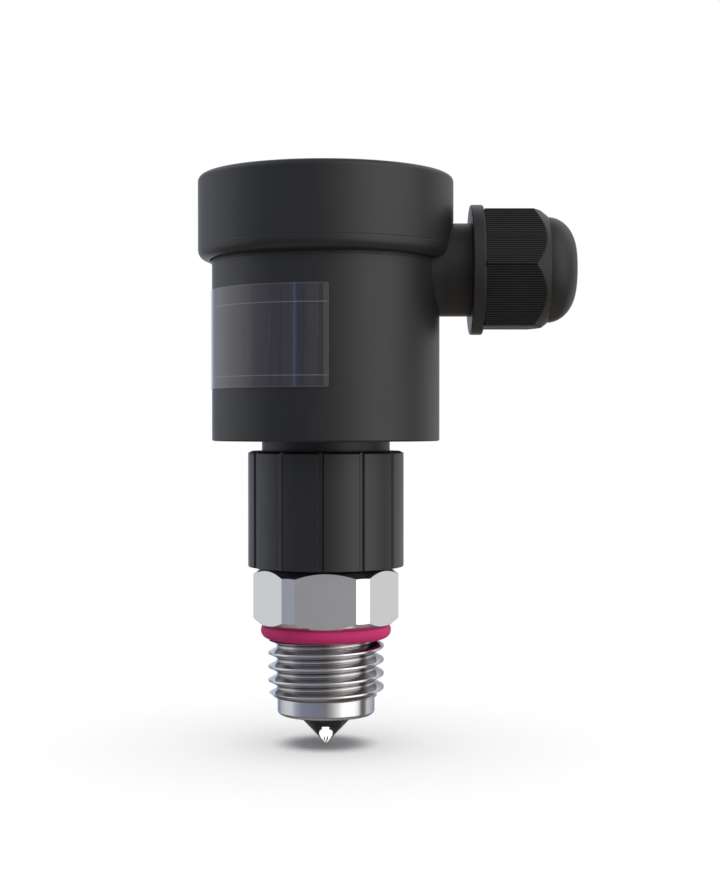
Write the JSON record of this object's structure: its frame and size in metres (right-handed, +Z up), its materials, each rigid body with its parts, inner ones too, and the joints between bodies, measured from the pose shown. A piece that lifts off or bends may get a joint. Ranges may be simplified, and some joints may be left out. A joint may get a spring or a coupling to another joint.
{
  "type": "optical level switch",
  "caption": "Optical point level switch: plastic head with cap and cable gland, fluted union nut, steel hexagon and threaded process end with a conical prism tip.",
  "frame": {"origin": "on the main axis, in the middle of the process thread", "axes": "+Z up the main axis, from the prism tip to the lid; +X along the cable gland, outwards"},
  "size_m": [0.0679, 0.046, 0.1023],
  "materials": {
    "stainless": "turned",
    "spring_steel": "satin",
    "raspberry_rubber": "satin",
    "black_rubber": "matte",
    "prism": "polished",
    "housing_black": "fine moulded grain",
    "lid_black": "fine moulded grain",
    "nut_black": "satin",
    "gland_black": "satin",
    "plate_dark": "glossy film",
    "carrier_black": "matte",
    "lamp_clear": "clear",
    "receiver_dark": "smoked",
    "board_green": "solder resist",
    "chip_black": "moulded",
    "lead_grey": "matte",
    "white_plastic": "satin",
    "brass": "turned",
    "zinc_screws": "zinc plated",
    "relay_blue": "moulded",
    "module_black": "moulded",
    "capacitor_sleeve": "shrunk sleeve",
    "terminal_green": "moulded",
    "washer_white": "slippery"
  },
  "bodies": {
    "process_connection": {"process_fitting": "stainless", "process_o_ring": "raspberry_rubber", "prism_tip": "prism", "prism_seal_ring": "black_rubber", "prism_retainer": "brass", "optic_carrier": "carrier_black", "infrared_emitter": "lamp_clear", "light_receiver": "receiver_dark", "sensor_board": "board_green", "sensor_chip": "chip_black", "signal_lead": "lead_grey", "lead_plug": "white_plastic", "lead_bushing": "black_rubber", "neck_seal_ring": "black_rubber", "thread_dust_ring": "black_rubber"},
    "housing": {"housing_base": "housing_black", "neck_retaining_ring": "spring_steel", "rating_plate": "plate_dark", "gland_body": "gland_black", "gland_washer": "black_rubber", "gland_lock_nut": "gland_black", "main_board": "board_green", "board_standoffs": "brass", "board_screws": "zinc_screws", "lead_socket": "white_plastic", "relay": "relay_blue", "power_module": "module_black", "buffer_capacitor": "capacitor_sleeve", "terminal_block": "terminal_green", "terminal_screws": "zinc_screws"},
    "lid_body": {"lid": "lid_black", "lid_gasket": "black_rubber"},
    "union_slide": {"slip_washer": "washer_white"},
    "union_nut_body": {"union_nut": "nut_black"},
    "gland_slide": {"gland_seal": "black_rubber"},
    "gland_nut_body": {"gland_nut": "gland_black"}
  },
  "joints": [
    {"name": "housing_swivel", "type": "hinge", "parent": "process_connection", "child": "housing", "pos_m": [0, 0, 0.035], "axis": [0, 0, 1], "range_deg": [-165, 165]},
    {"name": "lid_lift", "type": "slide", "parent": "housing", "child": "lid_body", "axis": [0, 0, 1], "range_m": [0, 0.018]},
    {"name": "union_lift", "type": "slide", "parent": "process_connection", "child": "union_slide", "axis": [0, 0, 1], "range_m": [0, 0.0015]},
    {"name": "union_turn", "type": "hinge", "parent": "union_slide", "child": "union_nut_body", "pos_m": [0, 0, 0.0285], "axis": [0, 0, 1], "range_deg": [0, 360]},
    {"name": "gland_shift", "type": "slide", "parent": "housing", "child": "gland_slide", "axis": [1, 0, 0], "range_m": [0, 0.003]},
    {"name": "gland_turn", "type": "hinge", "parent": "gland_slide", "child": "gland_nut_body", "pos_m": [0.037, 0, 0.0717], "axis": [1, 0, 0], "range_deg": [0, 720]}
  ],
  "couplings": [
    {"joint": "union_lift", "follows": "union_turn", "m_per_rad": 0.0002387},
    {"joint": "gland_shift", "follows": "gland_turn", "m_per_rad": 0.0002387}
  ]
}
